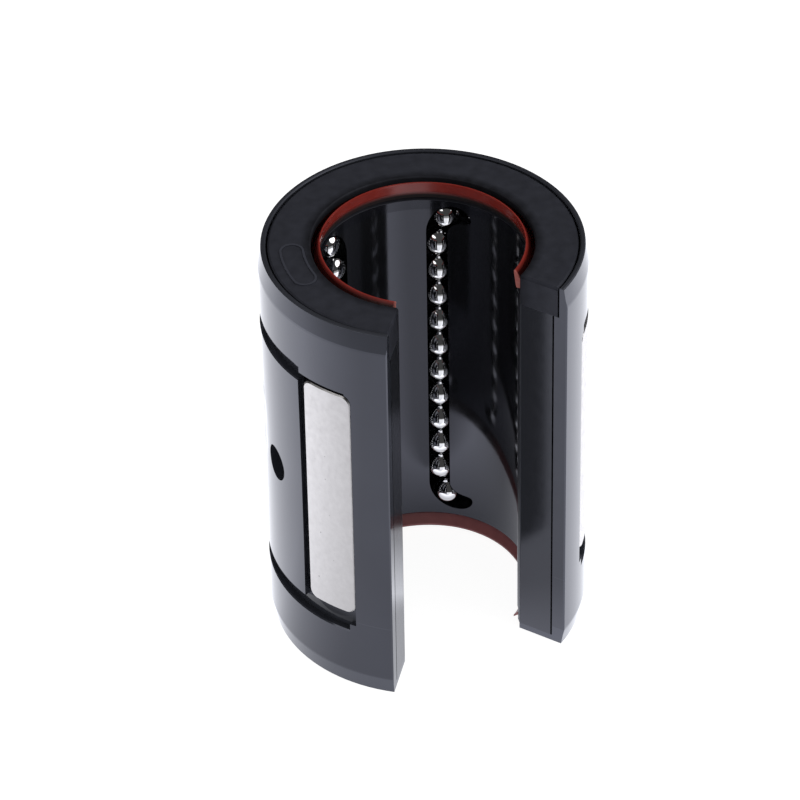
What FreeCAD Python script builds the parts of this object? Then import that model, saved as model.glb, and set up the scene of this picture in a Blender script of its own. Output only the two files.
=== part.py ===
"""Open linear ball bushing: a slotted plastic sleeve with four recirculating ball circuits.

The bore runs along Z, the origin is on its axis at half length, and the slot faces -Y.
Lengths are in millimetres. Angles are in degrees, measured round Z from the middle of the
slot, positive towards +X.
"""
import FreeCAD
import Part
import math
import os

from FreeCAD import Vector

# Main sizes
SHAFT_DIAMETER = 16.0
RADIAL_SECTION = 5.0
BUSHING_LENGTH = 36.0
SLOT_ANGLE = 71.0

# Balls and the tracks they run in
BALL_DIAMETER = 2.5
BALL_GAP = 0.05
SHAFT_CLEARANCE = 0.01
RACEWAY_CLEARANCE = 0.01
TRACK_CLEARANCE = 0.08
RETURN_CLEARANCE = 0.17
FRONT_ROW_ANGLE = 59.4
BACK_ROW_ANGLE = 149.5
RETURN_ROW_ANGLE = 22.5
TRACK_END_MARGIN = 1.85
TURN_RELIEF = 0.6
TURN_RELIEF_SWEEP = 130.0

# Outer sleeve
SLEEVE_WALL = 1.13
RIM_WALL = 0.68
FLANGE_THICKNESS = 0.55
FLANGE_CLEARANCE = 0.8
LEAD_DEPTH = 0.27
TOP_LEAD_LENGTH = 1.7
BOTTOM_LEAD_LENGTH = 1.5
EDGE_BREAK = 0.1

# Retaining ring grooves and the locating hole
GROOVE_WIDTH = 1.3
GROOVE_DEPTH = 0.55
GROOVE_INSET = 5.7
GROOVE_START_ANGLE = 51.6
LAND_WAIST = 0.06
RECESS_DEPTH = 0.12
HOLE_DIAMETER = 3.0
HOLE_ANGLE = -90.0

# Load plates and the windows they sit in
PLATE_WIDTH = 4.5
PLATE_SHOULDER = 0.94
PLATE_CORNER_RADIUS = 0.8
PLATE_END_PLAY = 1.36
PLATE_TOP_GAP = 0.2
PLATE_BASE_GAP = 0.07
PLATE_SIDE_GAP = 0.07
PLATE_SIDE_PLAY = 0.62
PLATE_BACK_GAP = 0.15
WINDOW_OVERRUN = 0.61
SILL_SLOPE = 0.25
RAMP_LENGTH = 1.6
RAMP_DEPTH = 0.15

# Ball retainer
RETAINER_CLEARANCE = 0.3
JOINT_LINE = 0.15
SLOT_BEVEL_WIDTH = 0.5
SEAL_CHAMFER = 0.3

# End ring
RING_THICKNESS = 2.82
RING_SETBACK = 0.08
RING_MOUTH_CLEARANCE = 0.8
RING_BEVEL_WIDTH = 0.15
RING_BEVEL_DEPTH = 0.1
RING_SLOT_BEVEL_WIDTH = 0.12
RING_SLOT_BEVEL_HEIGHT = 0.3
INSERT_WIDTH = 1.95
INSERT_START_ANGLE = -112.0
INSERT_END_ANGLE = -80.5
INSERT_LINE_WIDTH = 0.18
INSERT_LINE_HEIGHT = 0.06

# Seals
LIP_CLEARANCE = 0.05
LIP_LAND = 0.16
LIP_TOP_WIDTH = 0.1
LIP_TAPER = 0.2
SEAL_FIT = 0.02
SEAL_SEAT_DEPTH = 1.25
SEAL_END_ANGLE = 2.5
TOP_SEAT_HEIGHT = 1.05
TOP_LIP_SETBACK = 0.14
TOP_LIP_DROP = 0.95
BOTTOM_LIP_SETBACK = 0.64
LIP_ROOT = 0.4
LIP_BACK = 0.62

# How closely a point has to lie on a face or an angle to count as on it
PICK_TOLERANCE = 1e-4

# Sizes that follow from the ones above
SHAFT_R = SHAFT_DIAMETER / 2
OUTSIDE_R = SHAFT_R + RADIAL_SECTION
FAR_R = OUTSIDE_R + RADIAL_SECTION
HALF_LENGTH = BUSHING_LENGTH / 2
HALF_SLOT = SLOT_ANGLE / 2
BALL_R = BALL_DIAMETER / 2
TRACK_R = BALL_R + TRACK_CLEARANCE

SLEEVE_BORE_R = OUTSIDE_R - SLEEVE_WALL
RIM_BORE_R = OUTSIDE_R - RIM_WALL
FLANGE_BORE_R = SHAFT_R + FLANGE_CLEARANCE
FLANGE_TOP_Z = -HALF_LENGTH + FLANGE_THICKNESS
RETAINER_R = SLEEVE_BORE_R - JOINT_LINE
RETAINER_BORE_R = SHAFT_R + RETAINER_CLEARANCE
RING_R = RIM_BORE_R - JOINT_LINE
RING_TOP_Z = HALF_LENGTH - RING_SETBACK
RING_BASE_Z = RING_TOP_Z - RING_THICKNESS
LIP_R = SHAFT_R + LIP_CLEARANCE
SEAL_SEAT_R = RETAINER_BORE_R + SEAL_SEAT_DEPTH
RING_MOUTH_R = SHAFT_R + RING_MOUTH_CLEARANCE

LOADED_R = SHAFT_R + SHAFT_CLEARANCE + BALL_R
RETURN_R = SLEEVE_BORE_R - RETURN_CLEARANCE - BALL_R
RACEWAY_R = BALL_R + RACEWAY_CLEARANCE
PLATE_BACK_R = LOADED_R + PLATE_SHOULDER

GROOVE_OUTER_Z = HALF_LENGTH - GROOVE_INSET
GROOVE_INNER_Z = GROOVE_OUTER_Z - GROOVE_WIDTH
GROOVE_FLOOR_R = OUTSIDE_R - GROOVE_DEPTH
WINDOW_HALF_LENGTH = GROOVE_INNER_Z + WINDOW_OVERRUN
PLATE_LENGTH = 2 * WINDOW_HALF_LENGTH - PLATE_END_PLAY
PLATE_TOP_Z = WINDOW_HALF_LENGTH - PLATE_TOP_GAP
PLATE_BASE_Z = PLATE_TOP_Z - PLATE_LENGTH
WINDOW_FAR_SIDE = PLATE_WIDTH / 2 + PLATE_SIDE_PLAY

AXIS = Vector(0, 0, 1)
CENTRE = Vector(0, 0, 0)

# Name, side of the slot, loaded row angle, and the way round to the return row
CIRCUITS = (
    ("front_left", -1, FRONT_ROW_ANGLE, 1),
    ("front_right", 1, FRONT_ROW_ANGLE, 1),
    ("back_left", -1, BACK_ROW_ANGLE, -1),
    ("back_right", 1, BACK_ROW_ANGLE, -1),
)


def outward(angle):
    """Unit vector pointing away from the axis at an angle from the middle of the slot."""
    turn = math.radians(angle)
    return Vector(math.sin(turn), -math.cos(turn), 0)


def revolve_section(points, start_angle, sweep_angle):
    """Solid swept round the axis by a closed section of (radius, height) points."""
    corners = [outward(start_angle) * radius + AXIS * height for radius, height in points]
    face = Part.Face(Part.makePolygon(corners + corners[:1]))
    return face.revolve(CENTRE, AXIS, sweep_angle)


def slotted_ring(points, end_angle=0.0):
    """Ring of the given section that stops at the slot, or the given angle short of it."""
    return revolve_section(points, HALF_SLOT + end_angle, 360 - SLOT_ANGLE - 2 * end_angle)


def local_prism(angle, outline, width_low, width_high):
    """Prism on an outline of (radius, height) points, square to the radius at the given angle."""
    corners = [Vector(radius, width_low, height) for radius, height in outline]
    prism = Part.Face(Part.makePolygon(corners + corners[:1])).extrude(Vector(0, width_high - width_low, 0))
    prism.rotate(CENTRE, AXIS, angle - 90)
    return prism


def local_box(angle, radius, width_low, width_high, z_low, z_high):
    """Block from a radius outwards, square to the radius at the given angle."""
    outline = [(radius, z_low), (FAR_R, z_low), (FAR_R, z_high), (radius, z_high)]
    return local_prism(angle, outline, width_low, width_high)


class Circuit:
    """Loop of balls: a loaded row, a return row and a turn at each end, all in one plane."""

    def __init__(self, name, side, row_angle, away):
        self.name = name
        self.row_angle = side * row_angle
        self.return_side = side * away
        return_angle = self.row_angle + self.return_side * RETURN_ROW_ANGLE
        self.loaded = outward(self.row_angle) * LOADED_R
        self.returned = outward(return_angle) * RETURN_R
        self.middle = (self.loaded + self.returned) * 0.5
        shallow = outward(return_angle) * (RETURN_R - TURN_RELIEF)
        self.relief_middle = (self.loaded + shallow) * 0.5
        self.across = self.returned - self.loaded
        self.turn_r = self.across.Length / 2
        self.across.normalize()
        self.normal = self.across.cross(AXIS)
        if self.normal.dot(self.middle) < 0:
            self.normal = self.normal * -1
        room = HALF_LENGTH - TRACK_END_MARGIN - self.turn_r - TRACK_R
        self.balls_in_row = int(2 * room / (BALL_DIAMETER + BALL_GAP))
        self.pitch = 2 * room / self.balls_in_row
        self.half_straight = room

    def row_places(self, foot):
        """Ball centres along a straight row that stands on a point of the mid plane."""
        first = -self.half_straight + self.pitch / 2
        return [foot + AXIS * (first + i * self.pitch) for i in range(self.balls_in_row)]

    def turn_places(self, end):
        """Ball centres in the turn at the top (end 1) or the bottom (end -1)."""
        reach = self.turn_r * math.sqrt(0.5)
        centre = self.middle + AXIS * (end * self.half_straight)
        return [centre + self.across * (s * reach) + AXIS * (end * reach) for s in (-1, 1)]

    def track(self, open_outwards):
        """Tunnel that the balls run in; past the loaded row its outer side can be cut away."""
        pieces = []
        for foot, end in ((self.loaded, 1), (self.returned, -1)):
            row = self.track_section(foot, open_outwards and foot is self.returned)
            row.translate(AXIS * -self.half_straight)
            pieces.append(row.extrude(AXIS * (2 * self.half_straight)))
            pieces.append(self.turn(self.track_section(foot, open_outwards), foot, self.middle, end, 180))
            relief = self.track_section(self.loaded, False)
            pieces.append(self.turn(relief, self.loaded, self.relief_middle, end, TURN_RELIEF_SWEEP))
        return pieces[0].fuse(pieces[1:])

    def turn(self, section, foot, middle, end, sweep):
        """Tunnel round the top (end 1) or the bottom (end -1) of the loop, swept from over a foot."""
        level = AXIS * (end * self.half_straight)
        section.translate(level)
        return section.revolve(middle + level, (foot - middle).cross(AXIS) * end, sweep)

    def track_section(self, foot, open_outwards):
        """Cross-section of the track at a point of the mid plane."""
        if not open_outwards:
            return Part.Face(Part.Wire(Part.Circle(foot, AXIS, TRACK_R).toShape()))
        left = foot - self.across * TRACK_R
        right = foot + self.across * TRACK_R
        lift = self.normal * RADIAL_SECTION
        floor = Part.Arc(left, foot - self.normal * TRACK_R, right)
        sides = ((right, right + lift), (right + lift, left + lift), (left + lift, left))
        edges = [floor.toShape()] + [Part.makeLine(a, b) for a, b in sides]
        return Part.Face(Part.Wire(edges))

    def window(self):
        """Opening in the sleeve for the load plate, with a sill below it and its play on the return side."""
        near = -PLATE_WIDTH / 2 - PLATE_SIDE_GAP
        far = WINDOW_FAR_SIDE
        if self.return_side < 0:
            near, far = -near, -far
        sill_z = PLATE_BASE_Z - PLATE_BASE_GAP
        outline = [
            (PLATE_BACK_R, sill_z),
            (GROOVE_FLOOR_R - SILL_SLOPE, sill_z),
            (GROOVE_FLOOR_R, -WINDOW_HALF_LENGTH),
            (FAR_R, -WINDOW_HALF_LENGTH),
            (FAR_R, WINDOW_HALF_LENGTH),
            (PLATE_BACK_R, WINDOW_HALF_LENGTH),
        ]
        window = local_prism(self.row_angle, outline, near, far)
        corner = outward(self.row_angle).cross(AXIS) * -near + AXIS * WINDOW_HALF_LENGTH
        posts = []
        for edge in window.Edges:
            offsets = [vertex.Point - corner for vertex in edge.Vertexes]
            if all(offset.cross(outward(self.row_angle)).Length < PICK_TOLERANCE for offset in offsets):
                posts.append(edge)
        return window.makeFillet(PLATE_CORNER_RADIUS, posts)

    def plate_pocket(self):
        """Pocket in the retainer that keeps the load plate in place."""
        half = PLATE_WIDTH / 2 + PLATE_SIDE_GAP
        low_z = PLATE_BASE_Z - PLATE_SIDE_GAP
        high_z = PLATE_TOP_Z + PLATE_SIDE_GAP
        return local_box(self.row_angle, PLATE_BACK_R - PLATE_BACK_GAP, -half, half, low_z, high_z)

    def plate(self):
        """Hardened load plate: ground outside, raceway with ramped ends inside."""
        half = PLATE_WIDTH / 2
        block = local_box(self.row_angle, PLATE_BACK_R, -half, half, PLATE_BASE_Z, PLATE_TOP_Z)
        radial = outward(self.row_angle)
        posts = []
        for edge in block.Edges:
            slant = edge.tangentAt(edge.FirstParameter).cross(radial)
            if slant.Length < PICK_TOLERANCE:
                posts.append(edge)
        block = block.makeFillet(PLATE_CORNER_RADIUS, posts)
        skin = Part.makeCylinder(OUTSIDE_R, PLATE_LENGTH, AXIS * PLATE_BASE_Z, AXIS)
        plate = block.common(skin)
        rim = [e for e in plate.Edges if all(on_outside(v.Point) for v in e.Vertexes)]
        plate = plate.makeChamfer(EDGE_BREAK, rim)
        raceway = Part.makeCylinder(RACEWAY_R, PLATE_LENGTH, self.loaded + AXIS * PLATE_BASE_Z, AXIS)
        ramps = []
        for start, way in ((PLATE_BASE_Z, 1), (PLATE_TOP_Z, -1)):
            ramps.append(Part.makeCone(RACEWAY_R + RAMP_DEPTH, RACEWAY_R, RAMP_LENGTH,
                                       self.loaded + AXIS * start, AXIS * way))
        return plate.cut([raceway] + ramps).Solids[0]

    def balls(self, places):
        """Group of separate balls."""
        return Part.makeCompound([Part.makeSphere(BALL_R, place) for place in places])


def on_outside(point):
    """Whether a point lies on the outside diameter."""
    return abs(math.hypot(point.x, point.y) - OUTSIDE_R) < PICK_TOLERANCE


def groove_cutter(way, start_angle):
    """Retaining ring groove near the top (way 1) or the bottom (way -1), with broken edges."""
    outer, inner = GROOVE_OUTER_Z, GROOVE_INNER_Z
    over_r = OUTSIDE_R + EDGE_BREAK
    section = [
        (GROOVE_FLOOR_R, inner),
        (GROOVE_FLOOR_R, outer),
        (OUTSIDE_R - EDGE_BREAK, outer),
        (over_r, outer + 2 * EDGE_BREAK),
        (over_r, inner - 2 * EDGE_BREAK),
        (OUTSIDE_R - EDGE_BREAK, inner),
    ]
    section = [(radius, way * height) for radius, height in section]
    return revolve_section(section, start_angle, 360 - 2 * start_angle)


def ring_grooves():
    """Both retaining ring grooves; over the front plates the upper one is only a shallow recess."""
    recess_end = FRONT_ROW_ANGLE + math.degrees(math.asin(WINDOW_FAR_SIDE / OUTSIDE_R))
    recess_sweep = recess_end - GROOVE_START_ANGLE
    recess_r = OUTSIDE_R - RECESS_DEPTH
    section = [
        (recess_r, GROOVE_INNER_Z),
        (recess_r, GROOVE_OUTER_Z),
        (FAR_R, GROOVE_OUTER_Z),
        (FAR_R, GROOVE_INNER_Z),
    ]
    cutters = [groove_cutter(1, recess_end), groove_cutter(-1, GROOVE_START_ANGLE)]
    cutters += [revolve_section(section, start, recess_sweep) for start in (GROOVE_START_ANGLE, -recess_end)]
    return cutters


def land_waist():
    """Cutter that leaves the land between the grooves slightly waisted, as moulding does."""
    radial = outward(GROOVE_START_ANGLE)
    top = radial * OUTSIDE_R + AXIS * GROOVE_INNER_Z
    bottom = radial * OUTSIDE_R - AXIS * GROOVE_INNER_Z
    clear = radial * GROOVE_DEPTH
    waist = Part.Arc(bottom, radial * (OUTSIDE_R - LAND_WAIST), top)
    sides = ((top, top + clear), (top + clear, bottom + clear), (bottom + clear, bottom))
    edges = [waist.toShape()] + [Part.makeLine(a, b) for a, b in sides]
    face = Part.Face(Part.Wire(edges))
    return face.revolve(CENTRE, AXIS, 360 - 2 * GROOVE_START_ANGLE)


def outer_sleeve(circuits):
    """Slotted sleeve with a bottom flange, ring grooves, plate windows and the locating hole."""
    lead_r = OUTSIDE_R - LEAD_DEPTH
    body = slotted_ring([
        (FLANGE_BORE_R, -HALF_LENGTH),
        (lead_r, -HALF_LENGTH),
        (OUTSIDE_R, -HALF_LENGTH + BOTTOM_LEAD_LENGTH),
        (OUTSIDE_R, HALF_LENGTH - TOP_LEAD_LENGTH),
        (lead_r, HALF_LENGTH - EDGE_BREAK),
        (lead_r - EDGE_BREAK, HALF_LENGTH),
        (RIM_BORE_R + EDGE_BREAK, HALF_LENGTH),
        (RIM_BORE_R, HALF_LENGTH - EDGE_BREAK),
        (RIM_BORE_R, RING_BASE_Z),
        (SLEEVE_BORE_R, RING_BASE_Z),
        (SLEEVE_BORE_R, FLANGE_TOP_Z),
        (FLANGE_BORE_R, FLANGE_TOP_Z),
    ])
    hole_depth = SLEEVE_WALL + JOINT_LINE
    hole_foot = outward(HOLE_ANGLE) * (OUTSIDE_R - hole_depth)
    hole = Part.makeCylinder(HOLE_DIAMETER / 2, 2 * hole_depth, hole_foot, outward(HOLE_ANGLE))
    cutters = [hole, land_waist()] + ring_grooves()
    cutters += [circuit.window() for circuit in circuits]
    body = body.cut(cutters).Solids[0]
    slot_edges = [e for e in body.Edges if is_slot_edge(e)]
    return body.makeChamfer(EDGE_BREAK, slot_edges)


def is_slot_edge(edge):
    """Whether an edge is a long outer edge of the slot."""
    if len(edge.Vertexes) != 2:
        return False
    for vertex in edge.Vertexes:
        point = vertex.Point
        angle = abs(math.degrees(math.atan2(point.x, -point.y)))
        if not on_outside(point) or abs(angle - HALF_SLOT) > PICK_TOLERANCE:
            return False
    return edge.Length > HALF_LENGTH


def slot_relief(z_low, z_high):
    """Two blocks that bevel the inner edges of the slot."""
    cutters = []
    for side in (-1, 1):
        edge = outward(side * HALF_SLOT)
        along = edge.cross(AXIS) * -side
        corner = edge * RETAINER_BORE_R
        points = [
            corner + edge * SLOT_BEVEL_WIDTH,
            corner - edge * SLOT_BEVEL_WIDTH,
            corner - edge * SLOT_BEVEL_WIDTH + along * (2 * SLOT_BEVEL_WIDTH),
        ]
        points = [point + AXIS * z_low for point in points]
        face = Part.Face(Part.makePolygon(points + points[:1]))
        cutters.append(face.extrude(AXIS * (z_high - z_low)))
    return cutters


def ball_retainer(circuits):
    """Plastic cage with the four ball tracks, plate pockets and the seat of the bottom seal."""
    seat_z = seal_seat_bottom()
    body = slotted_ring([
        (RETAINER_BORE_R, FLANGE_TOP_Z),
        (RETAINER_R, FLANGE_TOP_Z),
        (RETAINER_R, RING_BASE_Z),
        (RETAINER_BORE_R, RING_BASE_Z),
    ])
    seat = slotted_ring([
        (SHAFT_R, -HALF_LENGTH),
        (SEAL_SEAT_R, -HALF_LENGTH),
        (SEAL_SEAT_R, seat_z),
        (RETAINER_BORE_R + SEAL_CHAMFER, seat_z),
        (SHAFT_R, seat_z + SEAL_CHAMFER + RETAINER_CLEARANCE),
    ], seat_end_angle())
    cutters = [seat] + slot_relief(FLANGE_TOP_Z, RING_BASE_Z)
    for circuit in circuits:
        cutters.append(circuit.track(True))
        cutters.append(circuit.plate_pocket())
    return body.cut(cutters).Solids[0]


def seat_end_angle():
    """Angle by which the seals' seats stop short of the slot, with room for the seals' ends."""
    return SEAL_END_ANGLE - math.degrees(SEAL_FIT / RETAINER_BORE_R)


def seal_seat_bottom():
    """Height of the ceiling of the bottom seal's seat, just clear of the ball turns."""
    return -HALF_LENGTH + TRACK_END_MARGIN - SEAL_CHAMFER


def top_seat_levels():
    """Heights of the floor and the ceiling of the top seal's seat."""
    floor = HALF_LENGTH - TRACK_END_MARGIN + SEAL_CHAMFER / 2
    return floor, floor + TOP_SEAT_HEIGHT


def end_ring(circuits):
    """Ring pressed into the top of the sleeve: it closes the ball turns and holds a seal."""
    seat_floor, seat_ceiling = top_seat_levels()
    body = slotted_ring([
        (RETAINER_BORE_R, RING_BASE_Z),
        (RING_R, RING_BASE_Z),
        (RING_R, RING_TOP_Z - RING_BEVEL_DEPTH),
        (RING_R - RING_BEVEL_WIDTH, RING_TOP_Z),
        (RING_MOUTH_R + EDGE_BREAK, RING_TOP_Z),
        (RING_MOUTH_R, RING_TOP_Z - EDGE_BREAK),
        (RING_MOUTH_R, seat_floor),
        (RETAINER_BORE_R + SEAL_CHAMFER, seat_floor),
        (RETAINER_BORE_R, seat_floor - SEAL_CHAMFER),
    ])
    seat = slotted_ring([
        (SHAFT_R, seat_floor),
        (SEAL_SEAT_R, seat_floor),
        (SEAL_SEAT_R, seat_ceiling),
        (SHAFT_R, seat_ceiling),
    ], seat_end_angle())
    cutters = [seat] + slot_relief(RING_BASE_Z, seat_floor) + ring_slot_bevels()
    cutters += [circuit.track(False) for circuit in circuits]
    return body.cut(cutters).fuse(insert_line()).Solids[0]


def ring_slot_bevels():
    """Two blocks that bevel the top edges of the end ring at the slot."""
    cutters = []
    for side in (-1, 1):
        edge = outward(side * HALF_SLOT)
        inwards = edge.cross(AXIS) * -side
        corner = edge * SHAFT_R + AXIS * RING_TOP_Z
        points = [
            corner - inwards * RING_SLOT_BEVEL_WIDTH - AXIS * (2 * RING_SLOT_BEVEL_HEIGHT),
            corner - inwards * RING_SLOT_BEVEL_WIDTH + AXIS * RING_SLOT_BEVEL_HEIGHT,
            corner + inwards * (2 * RING_SLOT_BEVEL_WIDTH) + AXIS * RING_SLOT_BEVEL_HEIGHT,
        ]
        face = Part.Face(Part.makePolygon(points + points[:1]))
        cutters.append(face.extrude(edge * RADIAL_SECTION))
    return cutters


def insert_line():
    """Fine raised line round a curved mould insert in the top face of the end ring."""
    radius = (RING_R + RING_MOUTH_R) / 2 - INSERT_LINE_WIDTH
    base_z = RING_TOP_Z - INSERT_LINE_HEIGHT
    end_turn = math.degrees(INSERT_WIDTH / 2 / radius)
    first = INSERT_START_ANGLE + end_turn
    last = INSERT_END_ANGLE - end_turn

    def curved_pill(width):
        low, high = radius - width / 2, radius + width / 2
        top_z = RING_TOP_Z + INSERT_LINE_HEIGHT
        section = [(low, base_z), (high, base_z), (high, top_z), (low, top_z)]
        bar = revolve_section(section, first, last - first)
        ends = [Part.makeCylinder(width / 2, top_z - base_z, outward(angle) * radius + AXIS * base_z)
                for angle in (first, last)]
        return bar.fuse(ends)

    return curved_pill(INSERT_WIDTH).cut(curved_pill(INSERT_WIDTH - 2 * INSERT_LINE_WIDTH))


def top_seal():
    """Wiper seal in the end ring, with its lip pointing out of the top."""
    seat_floor, seat_ceiling = top_seat_levels()
    tip_z = HALF_LENGTH - TOP_LIP_SETBACK
    return slotted_ring([
        (SEAL_SEAT_R - SEAL_FIT, seat_floor + SEAL_FIT),
        (SEAL_SEAT_R - SEAL_FIT, seat_ceiling - SEAL_FIT),
        (RING_MOUTH_R, seat_ceiling - SEAL_FIT),
        (RING_MOUTH_R, tip_z - TOP_LIP_DROP),
        (LIP_R + LIP_TOP_WIDTH, tip_z),
        (LIP_R, tip_z),
        (LIP_R, tip_z - LIP_LAND),
        (LIP_R + LIP_TAPER, seat_floor + SEAL_FIT),
    ], SEAL_END_ANGLE)


def bottom_seal():
    """Wiper seal between the retainer and the flange, with its lip pointing down."""
    seat_z = seal_seat_bottom()
    tip_z = -HALF_LENGTH + BOTTOM_LIP_SETBACK
    root_r = RETAINER_BORE_R + SEAL_CHAMFER
    return slotted_ring([
        (SEAL_SEAT_R - SEAL_FIT, FLANGE_TOP_Z + SEAL_FIT),
        (SEAL_SEAT_R - SEAL_FIT, seat_z - SEAL_FIT),
        (root_r, seat_z - SEAL_FIT),
        (LIP_R, tip_z + LIP_LAND),
        (LIP_R, tip_z),
        (LIP_R + LIP_BACK, seat_z - LIP_ROOT),
        (FLANGE_BORE_R + EDGE_BREAK, FLANGE_TOP_Z + SEAL_FIT),
    ], SEAL_END_ANGLE)


def main():
    circuits = [Circuit(*values) for values in CIRCUITS]
    nodes = {
        "outer_sleeve": outer_sleeve(circuits),
        "ball_retainer": ball_retainer(circuits),
        "end_ring": end_ring(circuits),
        "top_seal": top_seal(),
        "bottom_seal": bottom_seal(),
    }
    for circuit in circuits:
        nodes[circuit.name + "_load_plate"] = circuit.plate()
        nodes[circuit.name + "_loaded_balls"] = circuit.balls(circuit.row_places(circuit.loaded))
        nodes[circuit.name + "_return_balls"] = circuit.balls(circuit.row_places(circuit.returned))
        nodes[circuit.name + "_top_turn_balls"] = circuit.balls(circuit.turn_places(1))
        nodes[circuit.name + "_bottom_turn_balls"] = circuit.balls(circuit.turn_places(-1))
    os.makedirs("parts", exist_ok=True)
    for name, shape in nodes.items():
        shape.exportStep(os.path.join("parts", name + ".step"))


main()
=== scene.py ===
"""Finishes, camera and light for an open linear ball bushing, laid out as an add-on.

The CAD model is loaded as a fixed frame: Z is the axis of the bore, the slot faces -Y, and every length
is in metres.
"""
import bpy
import math
from bpy.props import FloatProperty, FloatVectorProperty, PointerProperty
from bpy.types import NodeSocket, Operator, Panel, PropertyGroup
from mathutils import Matrix, Vector


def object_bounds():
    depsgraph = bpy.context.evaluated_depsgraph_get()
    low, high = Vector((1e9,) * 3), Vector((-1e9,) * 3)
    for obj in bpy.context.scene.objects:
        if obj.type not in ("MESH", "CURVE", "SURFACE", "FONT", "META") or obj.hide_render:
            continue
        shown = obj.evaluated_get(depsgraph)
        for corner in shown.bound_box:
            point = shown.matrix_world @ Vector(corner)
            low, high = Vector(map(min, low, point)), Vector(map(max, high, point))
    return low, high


bl_info = {
    "name": "Open Ball Bushing",
    "version": (1, 0, 0),
    "blender": (4, 5, 0),
    "location": "View3D > Sidebar > Bushing",
    "description": "Finishes the pieces of an open linear ball bushing and sets up its studio",
    "category": "Mesh",
}

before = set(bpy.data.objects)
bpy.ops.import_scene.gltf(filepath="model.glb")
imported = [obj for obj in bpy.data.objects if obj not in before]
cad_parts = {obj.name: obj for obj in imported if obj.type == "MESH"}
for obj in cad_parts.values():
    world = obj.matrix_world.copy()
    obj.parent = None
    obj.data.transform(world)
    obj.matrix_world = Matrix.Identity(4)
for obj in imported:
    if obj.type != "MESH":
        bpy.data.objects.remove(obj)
CAD_LOW, CAD_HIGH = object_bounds()

MM = 0.001
CIRCUITS = ("front_left", "front_right", "back_left", "back_right")
BALL_GROUPS = ("loaded", "return", "top_turn", "bottom_turn")
BLACK = (0.0, 0.0, 0.0)
WHITE = (1.0, 1.0, 1.0)

# Radii at which a finish changes
LIP_EDGE_R = 8.15 * MM
LIP_SHADE_R = 8.33 * MM
BORE_WALL_R = 8.45 * MM
SEAL_ROOT_R = 8.8 * MM
SLOT_CORNER_R = 8.85 * MM
RING_ROUND_R = 9.6 * MM
RECESS_R = 12.62 * MM

# Heights, depths and angles at which a finish changes
RING_TOP = 17.92 * MM
RING_ROUND_TOP = 17.82 * MM
RING_ROUND_FOOT = 17.52 * MM
RING_WALL_TOP = 15.95 * MM
RIM_TOP = 17.85 * MM
LIP_TOP = 17.05 * MM
LIP_FOOT = 16.6 * MM
LIP_END = math.radians(38.2)
LEAD_FOOT = 16.2 * MM
SILL_TOP = -10.4 * MM
SILL_FOOT = -11.4 * MM
GROOVE_FOOT = -12.4 * MM
BOTTOM_LEAD_TOP = -16.45 * MM
PARTING_Z = -11.2 * MM
PARTING_CORE = 0.02 * MM
PARTING_EDGE = 0.06 * MM
STRIP_Y = -8.2 * MM
SLOT_CORNER_Y = -6.58 * MM
# Painted shade on the lower seal's left side
LEFT_SHADE_FULL_X = -6 * MM
LEFT_SHADE_END_X = -3 * MM

# Widths over which one finish turns into the next
BLUR = 0.1 * MM
SHARP_BLUR = 0.05 * MM
FINE_BLUR = 0.02 * MM
LEAN_BLUR = 0.01
LIP_END_BLUR = 0.02

# Shade of places on the pieces, from 0, the darker colour of a mix, to 1, the paler one
PARTING_SHADE = 0.25
# The bottom lead's paleness is painted light
LEAD_SHADE = 0.6
# The sill shades are painted shade
SILL_FOOT_SHADE = 0.05
SILL_TOP_SHADE = 0.9
# The ring's face and round shades are painted shade
RING_FACE_SHADE = 0.6
RING_ROUND_SHADE = 0.5
# The raised line's paleness is a painted highlight
RING_LINE_HIGHLIGHT = 0.6
# The lip root's shade is painted shade
LIP_ROOT_SHADE = 0.1
PLATE_SPECK_SHADE = 0.35

# Roughness of places on the pieces
RIM_ROUGHNESS = 0.6
RING_ROUGHNESS = 0.4
RING_WALL_ROUGHNESS = 0.09
RING_SEAT_ROUGHNESS = 0.9
SLOT_CORNER_ROUGHNESS = 0.5
SLOT_FACE_ROUGHNESS = 0.04
LIP_FOOT_ROUGHNESS = 0.8

# Sizes of the marks in each finish
SLEEVE_FLOW = 6 * MM
SLEEVE_HAZE = 1.2 * MM
SLEEVE_PEEL = 0.5 * MM
RING_MOTTLE = 0.9 * MM
RING_GRAIN = 0.12 * MM
RETAINER_HAZE = 1.0 * MM
RETAINER_WAVE = 1.5 * MM
RUBBER_MOTTLE = 0.8 * MM
RUBBER_HAZE = 0.4 * MM
PLATE_SPECK = 0.3 * MM
PLATE_SPECK_START = 0.865
PLATE_SPECK_FULL = 0.885
PLATE_MOTTLE = 0.4 * MM
PLATE_HAZE = 0.5 * MM
PLATE_GRAIN = 0.1 * MM
PLATE_GRAIN_STRETCH = (1.0, 1.0, 0.06)
BALL_HAZE = 0.6 * MM

# Table and lamps; a lamp's turn and lift are in degrees
FLOOR_SIZE = 3.0
FLOOR_GREY = (0.3, 0.3, 0.3)
FLOOR_BEHIND_COSINE = 0.3
FLOOR_FRONT_COSINE = 0.88
FLOOR_BORE_R = 8 * MM
FLOOR_BODY_R = 11 * MM
FLOOR_BORE_BACK = -6 * MM
FLOOR_BORE_FRONT = 1.5 * MM
LAMP_DISTANCE = 0.5
KEY_LAMP = {"turn": 56.0, "lift": 33.0, "width": 0.45, "height": 0.4, "radiance": 2.0}
STRIP_LAMP = {"turn": -75.0, "lift": 42.0, "width": 0.36, "height": 0.14, "radiance": 1.6}
SENSOR_MM = 36.0


def colour_property(name, description, default):
    """Colour swatch for a finish."""
    return FloatVectorProperty(
        name=name,
        description=description,
        subtype="COLOR",
        size=3,
        min=0.0,
        max=1.0,
        default=default,
    )


def angle_property(name, description, degrees):
    """Angle whose default is given in degrees."""
    return FloatProperty(name=name, description=description, subtype="ANGLE", default=math.radians(degrees))


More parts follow.
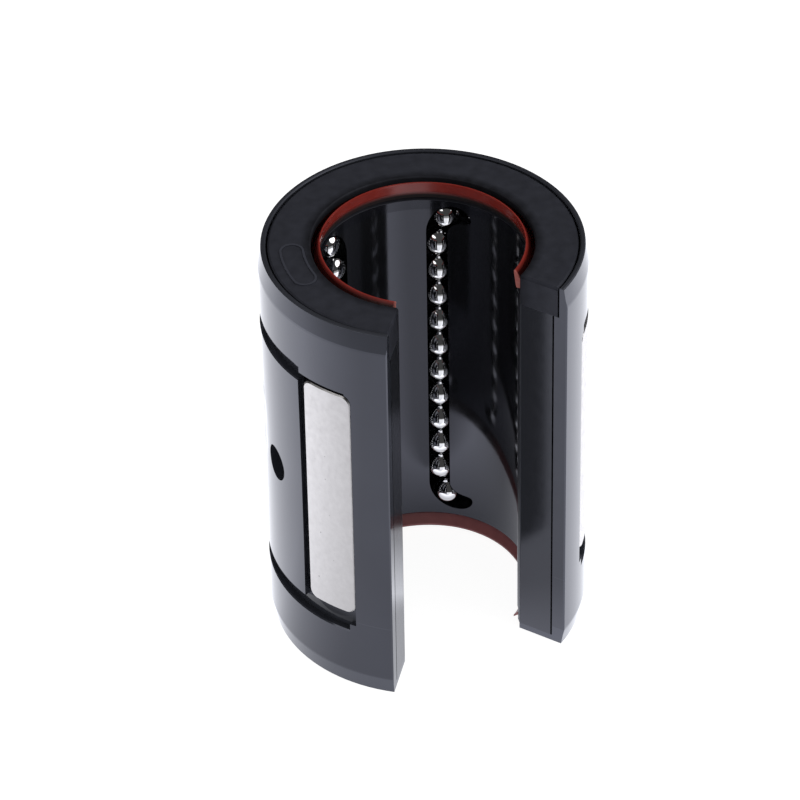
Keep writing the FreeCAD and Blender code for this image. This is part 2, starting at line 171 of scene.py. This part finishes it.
def length_property(name, description, default):
    """Length in metres."""
    return FloatProperty(name=name, description=description, unit="LENGTH", default=default)


def level_property(name, description, default):
    """Level of light, where 1 is white, or of gloss."""
    return FloatProperty(name=name, description=description, default=default)


class BushingFinish(PropertyGroup):
    """Colours and gloss of the bushing's materials."""

    sleeve_colour: colour_property("Sleeve", "Blue-black moulded plastic", (0.026, 0.028, 0.035))
    sleeve_gloss: level_property("Sleeve gloss", "Strength of the sleeve's reflections", 0.8)
    ring_colour: colour_property("End ring", "Satin plastic of the end ring", (0.03, 0.0315, 0.041))
    retainer_colour: colour_property("Retainer", "Polished black plastic", (0.009, 0.0095, 0.011))
    retainer_gloss: level_property("Retainer gloss", "Strength of the retainer's reflections", 0.69)
    gloss_tint: colour_property("Gloss tint", "Bluish cast of the plastics' gloss", (0.82, 0.84, 1.0))
    seal_colour: colour_property("Upper seal", "Red-brown rubber of the upper seal", (0.27, 0.026, 0.018))
    # The seal ends' paler colour is a painted highlight
    cut_highlight_colour: colour_property("Seal ends", "Paler rubber where the upper seal is cut", (0.42, 0.13, 0.11))
    # The lower seal's colour is its red made paler as a painted reflection of the table
    pale_lower_seal_colour: colour_property("Lower seal", "Duller rubber of the lower seal", (0.36, 0.12, 0.118))
    plate_colour: colour_property("Load plates", "Ground hardened steel", (0.565, 0.55, 0.545))
    ball_colour: colour_property("Balls", "Polished bearing steel", (0.82, 0.82, 0.83))


class BushingStage(PropertyGroup):
    """Camera and light of the studio."""

    azimuth: angle_property("Azimuth", "Camera's turn round the bore", -22.287)
    elevation: angle_property("Elevation", "Camera's height above the horizon", 37.836)
    roll: angle_property("Roll", "Camera's turn about its own axis", -1.073)
    distance: length_property("Distance", "From the target to the camera", 0.36743)
    pan_right: length_property("Pan right", "Target's offset to the right", -0.002053)
    pan_up: length_property("Pan up", "Target's offset upwards", 0.001745)
    lens: FloatProperty(name="Lens", description="Focal length in mm", unit="CAMERA", default=205.207)
    floor_glow: level_property("Floor glow", "Light of the table as the camera sees it", 0.93)
    floor_turn: angle_property("Floor turn", "Azimuth that the dimmer side of the table faces", -33.0)
    floor_tint: colour_property("Floor tint", "Cast of the reflected table", (0.92, 0.935, 1.0))
    floor_bounce: level_property("Floor bounce", "Light that the table throws back", 0.5)
    floor_front: level_property("Floor in front", "Reflected table's light before the bushing", 0.8)
    floor_behind: level_property("Floor behind", "Reflected table's light behind the bushing", 1.6)
    # Painted shade of the reflected table deep in the bore
    floor_inside: level_property("Floor inside", "Share of that light deep in the bore", 0.4)
    floor_near: length_property("Floor near", "Reflected table has its full light up to here", 0.075)
    floor_far: length_property("Floor far", "Reflected table is darkest from here on", 0.13)
    surround: level_property("Surround", "Light of the room in reflections", 0.05)
    ambient: level_property("Ambient", "Even light from all round", 0.6)


class Shader:
    """Principled material with helpers for procedural detail on object coordinates.

    Its plain colour and roughness serve where the nodes linked to them can't be read.
    """

    def __init__(self, name, colour, roughness, metallic=0.0):
        self.material = bpy.data.materials.new(name)
        self.material.use_nodes = True
        self.nodes = self.material.node_tree.nodes
        self.links = self.material.node_tree.links
        self.bsdf = self.nodes["Principled BSDF"]
        self.feed(self.bsdf.inputs["Base Color"], colour)
        self.feed(self.bsdf.inputs["Roughness"], roughness)
        self.feed(self.bsdf.inputs["Metallic"], metallic)
        self.place = self.nodes.new("ShaderNodeTexCoord").outputs["Object"]
        self.normal = None

    def feed(self, socket, value):
        """Give an input the result of another node, or a constant."""
        if isinstance(value, NodeSocket):
            self.links.new(value, socket)
        elif socket.type == "RGBA":
            socket.default_value = (*value, 1.0)
        else:
            socket.default_value = value

    def math(self, operation, first, second=0.0):
        """Result of an operation on two values, of which the second may be a number."""
        step = self.nodes.new("ShaderNodeMath")
        step.operation = operation
        self.feed(step.inputs[0], first)
        self.feed(step.inputs[1], second)
        return step.outputs["Value"]

    def vector(self, operation, first, second=(0.0, 0.0, 0.0)):
        """Outputs of an operation on two vectors, of which the second may be a constant."""
        step = self.nodes.new("ShaderNodeVectorMath")
        step.operation = operation
        self.feed(step.inputs[0], first)
        self.feed(step.inputs[1], second)
        return step.outputs

    def mix(self, kind, share, first, second):
        """Mix of two colours or two vectors."""
        step = self.nodes.new("ShaderNodeMix")
        step.data_type = kind
        self.feed(step.inputs["Factor"], share)
        self.feed(step.inputs["A"], first)
        self.feed(step.inputs["B"], second)
        return step.outputs["Result"]

    def ranged(self, value, low, high, from_low=0.3, from_high=0.7):
        """Value spread over a new range; the old one is that of most noise unless it is given."""
        spread = self.nodes.new("ShaderNodeMapRange")
        self.feed(spread.inputs["Value"], value)
        self.feed(spread.inputs["From Min"], from_low)
        self.feed(spread.inputs["From Max"], from_high)
        self.feed(spread.inputs["To Min"], low)
        self.feed(spread.inputs["To Max"], high)
        return spread.outputs["Result"]

    def past(self, value, limit, width=BLUR):
        """Zero up to a limit and one soon after it."""
        return self.ranged(value, 0.0, 1.0, limit, limit + width)

    def before(self, value, limit, width=BLUR):
        """One up to a limit and zero soon after it."""
        return self.ranged(value, 1.0, 0.0, limit, limit + width)

    def stretched(self, scale):
        """Object coordinates scaled by a different amount along each axis."""
        mapping = self.nodes.new("ShaderNodeMapping")
        self.feed(mapping.inputs["Vector"], self.place)
        self.feed(mapping.inputs["Scale"], scale)
        return mapping.outputs["Vector"]

    def noise(self, size, detail=2.0, vector=None):
        """Noise whose features are about the given size."""
        texture = self.nodes.new("ShaderNodeTexNoise")
        self.feed(texture.inputs["Vector"], vector or self.place)
        self.feed(texture.inputs["Scale"], 1.0 / size)
        self.feed(texture.inputs["Detail"], detail)
        return texture.outputs["Fac"]

    def along(self, axis):
        """Coordinate along an axis, which is X, Y or Z."""
        split = self.nodes.new("ShaderNodeSeparateXYZ")
        self.feed(split.inputs["Vector"], self.place)
        return split.outputs[axis]

    def outwards(self):
        """Vector from the bore's axis, square to it."""
        return self.vector("MULTIPLY", self.place, (1.0, 1.0, 0.0))["Vector"]

    def radius(self):
        """Distance from the bore's axis."""
        return self.vector("LENGTH", self.outwards())["Value"]

    def angle(self):
        """Angle round the bore from the middle of the slot, alike on both sides."""
        ahead = self.math("MULTIPLY", self.along("Y"), -1.0)
        aside = self.math("ABSOLUTE", self.along("X"))
        return self.math("ARCTAN2", aside, ahead)

    def tint(self, value, first, second, socket="Base Color"):
        """Colour that goes from one, which may be such a mix itself, to another with a value."""
        colour = self.mix("RGBA", value, first, second)
        self.feed(self.bsdf.inputs[socket], colour)
        return colour

    def rough(self, value):
        """Roughness from a value."""
        self.feed(self.bsdf.inputs["Roughness"], value)

    def lean(self, normal):
        """Make the surface shine as if it had another normal."""
        self.normal = normal
        self.feed(self.bsdf.inputs["Normal"], normal)

    def turned(self, reach, inner_radius=0.0, limit=0.97):
        """Even normals, whatever the facets are, on walls turned about the bore.

        They reach up to a height each way and in to a radius. The limit is the cosine of the most that a
        facet may lean from such a wall.
        """
        geometry = self.nodes.new("ShaderNodeNewGeometry").outputs
        out = self.vector("NORMALIZE", self.outwards())["Vector"]
        facing = self.vector("DOT_PRODUCT", out, geometry["True Normal"])["Value"]
        even = self.vector("MULTIPLY", out, self.math("SIGN", facing))["Vector"]
        upright = self.past(self.math("ABSOLUTE", facing), limit, LEAN_BLUR)
        within = self.before(self.math("ABSOLUTE", self.along("Z")), reach, FINE_BLUR)
        outer = self.past(self.radius(), inner_radius, FINE_BLUR)
        share = self.math("MULTIPLY", self.math("MULTIPLY", upright, within), outer)
        self.lean(self.mix("VECTOR", share, geometry["Normal"], even))

    def bump(self, value, depth, strength):
        """Relief of the given depth, on top of the normals that are there already."""
        relief = self.nodes.new("ShaderNodeBump")
        self.feed(relief.inputs["Height"], value)
        self.feed(relief.inputs["Distance"], depth)
        self.feed(relief.inputs["Strength"], strength)
        if self.normal is not None:
            self.feed(relief.inputs["Normal"], self.normal)
        self.lean(relief.outputs["Normal"])


def scaled(colour, factor):
    """Colour made lighter or darker."""
    return tuple(channel * factor for channel in colour)


def plastic(name, colour, roughness, gloss_tint):
    """Moulded plastic with a bluish gloss."""
    shader = Shader(name, colour, roughness)
    shader.feed(shader.bsdf.inputs["Specular Tint"], gloss_tint)
    return shader


def sleeve_plastic(finish):
    """Glossy plastic with flow marks, a parting line, painted light on the bottom lead and painted shade
    below plates.
    """
    shader = plastic("sleeve_plastic", finish.sleeve_colour, roughness=0.1, gloss_tint=finish.gloss_tint)
    shader.feed(shader.bsdf.inputs["Specular IOR Level"], finish.sleeve_gloss)
    shader.turned(LEAD_FOOT, RECESS_R, limit=0.85)
    height = shader.along("Z")
    strip = shader.before(shader.along("Y"), STRIP_Y)

    offset = shader.math("ABSOLUTE", shader.math("SUBTRACT", height, PARTING_Z))
    line = shader.ranged(offset, PARTING_SHADE, 0.0, PARTING_CORE, PARTING_EDGE)
    parting = shader.math("MULTIPLY", line, strip)
    # Painted light: the bottom lead is painted paler.
    painted_lead_light = shader.ranged(height, LEAD_SHADE, 0.0, BOTTOM_LEAD_TOP - BLUR, BOTTOM_LEAD_TOP)
    flow = shader.ranged(shader.noise(SLEEVE_FLOW), low=0.2, high=0.35)
    pale = shader.math("ADD", flow, shader.math("ADD", painted_lead_light, parting))
    shader.tint(pale, scaled(finish.sleeve_colour, 0.5), scaled(finish.sleeve_colour, 2.4))

    # Painted shade: in the recesses the gloss fades to black from the sills' top down to their foot and the
    # groove below.
    sill = shader.ranged(height, SILL_FOOT_SHADE, SILL_TOP_SHADE, SILL_FOOT, SILL_TOP)
    below = shader.before(height, GROOVE_FOOT - BLUR)
    outside = shader.past(shader.radius(), RECESS_R, SHARP_BLUR)
    open_faces = shader.math("MAXIMUM", shader.math("MAXIMUM", below, outside), strip)
    painted_sill_shade = shader.math("MAXIMUM", sill, open_faces)
    shader.tint(painted_sill_shade, BLACK, finish.gloss_tint, "Specular Tint")

    haze = shader.ranged(shader.noise(SLEEVE_HAZE, detail=4.0), low=0.06, high=0.13)
    rim = shader.math("MULTIPLY", shader.past(height, RIM_TOP), RIM_ROUGHNESS)
    shader.rough(shader.math("MAXIMUM", haze, rim))
    shader.bump(shader.noise(SLEEVE_PEEL, detail=3.0), depth=0.004 * MM, strength=0.2)
    return shader.material


def ring_plastic(finish):
    """Satin plastic with painted shade where the top rounds over into the bore and below it, and a painted
    highlight on the raised line.
    """
    shader = plastic("ring_plastic", finish.ring_colour, RING_ROUGHNESS, finish.gloss_tint)
    shader.turned(RING_TOP)
    radius = shader.radius()
    height = shader.along("Z")

    # Painted shade: the ring is darker where its top rounds over into the bore and on the faces below its
    # top.
    mouth = shader.ranged(radius, 0.0, 1.0, SEAL_ROOT_R, RING_ROUND_R)
    top = shader.ranged(height, RING_ROUND_SHADE, 1.0, RING_ROUND_FOOT, RING_ROUND_TOP)
    painted_face_shade = shader.math("MULTIPLY", shader.math("MULTIPLY", mouth, top), RING_FACE_SHADE)
    # Painted highlight: the top of the raised line is painted paler.
    line = shader.math("MULTIPLY", shader.past(height, RING_TOP, SHARP_BLUR), RING_LINE_HIGHLIGHT)
    mottle = shader.ranged(shader.noise(RING_MOTTLE, detail=4.0), low=-0.12, high=0.12)
    shade = shader.math("ADD", shader.math("ADD", painted_face_shade, line), mottle)
    shader.tint(shade, scaled(finish.ring_colour, 0.25), scaled(finish.ring_colour, 1.5))

    wall_end = BORE_WALL_R + BLUR
    satin = shader.ranged(radius, RING_WALL_ROUGHNESS, RING_ROUGHNESS, BORE_WALL_R, wall_end)
    dull = shader.ranged(mouth, RING_SEAT_ROUGHNESS, 0.0, from_low=0.0, from_high=0.4)
    seat = shader.math("MULTIPLY", shader.past(height, RING_WALL_TOP), dull)
    shader.rough(shader.math("MAXIMUM", satin, seat))
    shader.bump(shader.noise(RING_GRAIN), depth=0.004 * MM, strength=0.4)
    return shader.material


def retainer_plastic(finish):
    """Black plastic, polished in the bore and duller at the inner corners of the slot, with painted light
    outside the bore.
    """
    black = finish.retainer_colour
    shader = plastic("retainer_plastic", black, roughness=0.14, gloss_tint=finish.gloss_tint)
    shader.feed(shader.bsdf.inputs["Specular IOR Level"], finish.retainer_gloss)
    shader.turned(RING_TOP)
    radius = shader.radius()

    outside = shader.past(radius, BORE_WALL_R)
    # Painted light: the faces outside the bore are painted paler than the bore.
    shader.tint(outside, black, scaled(black, 2.2))

    haze = shader.ranged(shader.noise(RETAINER_HAZE, detail=4.0), low=0.07, high=0.11)
    polish = shader.math("ADD", haze, shader.math("MULTIPLY", outside, SLOT_FACE_ROUGHNESS))
    front = shader.before(shader.along("Y"), SLOT_CORNER_Y)
    corner = shader.math("MULTIPLY", front, shader.before(radius, SLOT_CORNER_R))
    dull = shader.math("MULTIPLY", corner, SLOT_CORNER_ROUGHNESS)
    shader.rough(shader.math("MAXIMUM", polish, dull))
    shader.bump(shader.noise(RETAINER_WAVE), depth=0.003 * MM, strength=0.2)
    return shader.material


def top_rubber(finish):
    """Red-brown rubber, palest at the edge of the lip, with painted shade at its root and foot and a
    painted highlight on the cut ends.
    """
    shader = Shader("top_rubber", finish.seal_colour, roughness=0.22)
    # Painted shade: the lip darkens into the groove behind its edge and towards its foot.
    root_painted_shade = shader.ranged(shader.radius(), 1.0, LIP_ROOT_SHADE, LIP_EDGE_R, LIP_SHADE_R)
    foot = shader.ranged(shader.along("Z"), 0.0, 1.0, LIP_FOOT, LIP_TOP)
    mottle = shader.ranged(shader.noise(RUBBER_MOTTLE, detail=3.0), low=0.85, high=1.0)
    shade = shader.math("MULTIPLY", shader.math("MINIMUM", root_painted_shade, foot), mottle)
    red = shader.tint(shade, scaled(finish.seal_colour, 0.03), finish.seal_colour)
    # Painted highlight: the cut ends are painted paler.
    cut_painted_highlight = shader.before(shader.angle(), LIP_END, LIP_END_BLUR)
    shader.tint(cut_painted_highlight, red, finish.cut_highlight_colour)

    haze = shader.ranged(shader.noise(RUBBER_HAZE, detail=3.0), low=0.18, high=0.26)
    dull = shader.ranged(foot, LIP_FOOT_ROUGHNESS, 0.0, from_low=0.0, from_high=1.0)
    shader.rough(shader.math("MAXIMUM", haze, dull))
    return shader.material


def bottom_rubber(finish):
    """Red rubber of the lower seal made paler as a painted reflection, with painted shade on its left side.
    """
    shader = Shader("bottom_rubber", finish.pale_lower_seal_colour, roughness=0.4)
    mottle = shader.ranged(shader.noise(RUBBER_MOTTLE, detail=3.0), low=0.85, high=1.0)
    # Painted shade: the lower seal darkens towards its left side.
    painted_side_shade = shader.ranged(shader.along("X"), 0.0, 1.0, LEFT_SHADE_FULL_X, LEFT_SHADE_END_X)
    shade = shader.math("MULTIPLY", mottle, painted_side_shade)
    shader.tint(shade, scaled(finish.pale_lower_seal_colour, 0.1), finish.pale_lower_seal_colour)
    shader.rough(shader.ranged(shader.noise(RUBBER_HAZE, detail=3.0), low=0.35, high=0.45))
    return shader.material


def plate_steel(finish):
    """Ground steel with fine lines along the plate and a few dark specks."""
    shader = Shader("plate_steel", finish.plate_colour, roughness=0.36, metallic=1.0)
    spots = shader.noise(PLATE_SPECK, detail=0.0)
    specks = shader.ranged(spots, 1.0, PLATE_SPECK_SHADE, PLATE_SPECK_START, PLATE_SPECK_FULL)
    mottle = shader.ranged(shader.noise(PLATE_MOTTLE, detail=4.0), low=0.92, high=1.0)
    shade = shader.math("MULTIPLY", specks, mottle)
    shader.tint(shade, scaled(finish.plate_colour, 0.15), finish.plate_colour)
    shader.rough(shader.ranged(shader.noise(PLATE_HAZE, detail=3.0), low=0.3, high=0.42))
    grain = shader.noise(PLATE_GRAIN, detail=3.0, vector=shader.stretched(PLATE_GRAIN_STRETCH))
    shader.bump(grain, depth=0.003 * MM, strength=0.4)
    return shader.material


def ball_steel(finish):
    """Polished bearing steel."""
    shader = Shader("ball_steel", finish.ball_colour, roughness=0.03, metallic=1.0)
    shader.rough(shader.ranged(shader.noise(BALL_HAZE), low=0.02, high=0.05))
    return shader.material


def dress(node, material):
    """Give a CAD node a finish."""
    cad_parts[node].material_slots[0].material = material


class BUSHING_OT_sleeve(Operator):
    """Finish the outer sleeve"""

    bl_idname = "bushing.sleeve"
    bl_label = "Outer Sleeve"

    def execute(self, context):
        dress("outer_sleeve", sleeve_plastic(context.scene.bushing_finish))
        return {"FINISHED"}


class BUSHING_OT_end_ring(Operator):
    """Finish the end ring"""

    bl_idname = "bushing.end_ring"
    bl_label = "End Ring"

    def execute(self, context):
        dress("end_ring", ring_plastic(context.scene.bushing_finish))
        return {"FINISHED"}


class BUSHING_OT_retainer(Operator):
    """Finish the ball retainer"""

    bl_idname = "bushing.retainer"
    bl_label = "Ball Retainer"

    def execute(self, context):
        dress("ball_retainer", retainer_plastic(context.scene.bushing_finish))
        return {"FINISHED"}


class BUSHING_OT_seals(Operator):
    """Finish the two wiper seals"""

    bl_idname = "bushing.seals"
    bl_label = "Seals"

    def execute(self, context):
        dress("top_seal", top_rubber(context.scene.bushing_finish))
        dress("bottom_seal", bottom_rubber(context.scene.bushing_finish))
        return {"FINISHED"}


class BUSHING_OT_plates(Operator):
    """Finish the four load plates"""

    bl_idname = "bushing.plates"
    bl_label = "Load Plates"

    def execute(self, context):
        steel = plate_steel(context.scene.bushing_finish)
        for circuit in CIRCUITS:
            dress(f"{circuit}_load_plate", steel)
        return {"FINISHED"}


class BUSHING_OT_balls(Operator):
    """Finish the balls of the four circuits"""

    bl_idname = "bushing.balls"
    bl_label = "Balls"

    def execute(self, context):
        steel = ball_steel(context.scene.bushing_finish)
        for circuit in CIRCUITS:
            for group in BALL_GROUPS:
                dress(f"{circuit}_{group}_balls", steel)
        return {"FINISHED"}


def direction(turn, lift):
    """Unit vector from the bushing towards an azimuth and an elevation."""
    return Vector((math.sin(turn) * math.cos(lift), -math.cos(turn) * math.cos(lift), math.sin(lift)))


def paper_floor(stage):
    """White table: it takes the shadow, and glows to white where it is seen or reflected close by."""
    shader = Shader("paper_floor", FLOOR_GREY, roughness=0.9)
    shader.material.cycles.emission_sampling = "NONE"
    shader.feed(shader.bsdf.inputs["Specular IOR Level"], 0.0)
    path = shader.nodes.new("ShaderNodeLightPath").outputs
    shader.tint(path["Is Camera Ray"], stage.floor_tint, WHITE, "Emission Color")

    ahead = direction(stage.floor_turn, 0.0)
    bearing = shader.vector("NORMALIZE", shader.place)["Vector"]
    facing = shader.vector("DOT_PRODUCT", bearing, ahead)["Value"]
    bright = shader.ranged(
        facing, stage.floor_behind, stage.floor_front, FLOOR_BEHIND_COSINE, FLOOR_FRONT_COSINE
    )
    radius = shader.radius()
    # Painted shade: the reflected glow is dimmed deep in the bore.
    depth = shader.vector("DOT_PRODUCT", shader.place, ahead)["Value"]
    bore = shader.ranged(depth, stage.floor_inside, 1.0, FLOOR_BORE_BACK, FLOOR_BORE_FRONT)
    inside = shader.math("MAXIMUM", shader.ranged(radius, 0.0, 1.0, FLOOR_BORE_R, FLOOR_BODY_R), bore)
    near = shader.ranged(radius, 1.0, stage.surround, stage.floor_near, stage.floor_far)
    reflected = shader.math("MULTIPLY", shader.math("MULTIPLY", bright, inside), near)

    seen = shader.math("MULTIPLY", path["Is Camera Ray"], stage.floor_glow)
    mirrored = shader.math("MULTIPLY", path["Is Glossy Ray"], reflected)
    bounced = shader.math("MULTIPLY", path["Is Diffuse Ray"], stage.floor_bounce)
    glow = shader.math("ADD", shader.math("ADD", seen, mirrored), bounced)
    shader.feed(shader.bsdf.inputs["Emission Strength"], glow)
    return shader.material


def studio_world(stage):
    """Even light from all round that reflections show as a dark room."""
    world = bpy.data.worlds.new("studio")
    bpy.context.scene.world = world
    world.use_nodes = True
    nodes = world.node_tree.nodes
    links = world.node_tree.links
    strength = nodes.new("ShaderNodeMapRange")
    strength.inputs["To Min"].default_value = stage.ambient
    strength.inputs["To Max"].default_value = stage.surround
    links.new(nodes.new("ShaderNodeLightPath").outputs["Is Glossy Ray"], strength.inputs["Value"])
    background = nodes["Background"]
    background.inputs["Color"].default_value = (*WHITE, 1.0)
    links.new(strength.outputs["Result"], background.inputs["Strength"])


def softbox(name, turn, lift, width, height, radiance):
    """Elliptical lamp that looks at the bushing from an azimuth and an elevation in degrees."""
    away = direction(math.radians(turn), math.radians(lift))
    area = math.pi / 4 * width * height
    lamp = bpy.data.lights.new(name, "AREA")
    lamp.shape = "ELLIPSE"
    lamp.size = width
    lamp.size_y = height
    lamp.energy = radiance * math.pi * area
    obj = bpy.data.objects.new(name, lamp)
    bpy.context.scene.collection.objects.link(obj)
    obj.location = away * LAMP_DISTANCE
    obj.rotation_euler = (-away).to_track_quat("-Z", "Y").to_euler()
    return obj


def photo_camera(stage):
    """Camera at the photograph's viewing angle."""
    back = direction(stage.azimuth, stage.elevation)
    level = Vector((math.cos(stage.azimuth), math.sin(stage.azimuth), 0.0))
    rise = back.cross(level)
    right = level * math.cos(stage.roll) + rise * math.sin(stage.roll)
    up = rise * math.cos(stage.roll) - level * math.sin(stage.roll)
    data = bpy.data.cameras.new("camera")
    data.sensor_width = SENSOR_MM
    data.lens = stage.lens
    data.clip_start = stage.distance / 100
    data.clip_end = stage.distance * 100
    camera = bpy.data.objects.new("camera", data)
    bpy.context.scene.collection.objects.link(camera)
    camera.matrix_world = Matrix((right, up, back)).transposed().to_4x4()
    camera.location = right * stage.pan_right + up * stage.pan_up + back * stage.distance
    bpy.context.scene.camera = camera


class BUSHING_OT_stage(Operator):
    """Set up the table, the light and the camera"""

    bl_idname = "bushing.stage"
    bl_label = "Studio"

    def execute(self, context):
        stage = context.scene.bushing_stage
        context.scene.view_settings.view_transform = "Standard"
        bpy.ops.object.select_all(action="DESELECT")
        bpy.ops.mesh.primitive_plane_add(size=FLOOR_SIZE, location=(0.0, 0.0, CAD_LOW.z))
        floor = context.object
        floor.name = "floor"
        floor.data.materials.append(paper_floor(stage))
        studio_world(stage)
        softbox("key", **KEY_LAMP)
        strip = softbox("strip", **STRIP_LAMP)
        strip.visible_diffuse = False
        photo_camera(stage)
        return {"FINISHED"}


class BUSHING_PT_panel(Panel):
    """Lists the bushing's pieces and its studio"""

    bl_idname = "BUSHING_PT_panel"
    bl_label = "Open Ball Bushing"
    bl_space_type = "VIEW_3D"
    bl_region_type = "UI"
    bl_category = "Bushing"

    def draw(self, context):
        for operator in OPERATORS:
            self.layout.operator(operator.bl_idname)
        for group in (context.scene.bushing_finish, context.scene.bushing_stage):
            column = self.layout.column()
            for name in group.__annotations__:
                column.prop(group, name)


OPERATORS = (
    BUSHING_OT_sleeve,
    BUSHING_OT_end_ring,
    BUSHING_OT_retainer,
    BUSHING_OT_seals,
    BUSHING_OT_plates,
    BUSHING_OT_balls,
    BUSHING_OT_stage,
)
CLASSES = (BushingFinish, BushingStage, *OPERATORS, BUSHING_PT_panel)


def register():
    for cls in CLASSES:
        bpy.utils.register_class(cls)
    bpy.types.Scene.bushing_finish = PointerProperty(type=BushingFinish)
    bpy.types.Scene.bushing_stage = PointerProperty(type=BushingStage)


def unregister():
    del bpy.types.Scene.bushing_stage
    del bpy.types.Scene.bushing_finish
    for cls in reversed(CLASSES):
        bpy.utils.unregister_class(cls)


def main():
    """Finish every piece and set the stage."""
    register()
    bpy.ops.bushing.sleeve()
    bpy.ops.bushing.end_ring()
    bpy.ops.bushing.retainer()
    bpy.ops.bushing.seals()
    bpy.ops.bushing.plates()
    bpy.ops.bushing.balls()
    bpy.ops.bushing.stage()


if __name__ == "__main__":
    main()
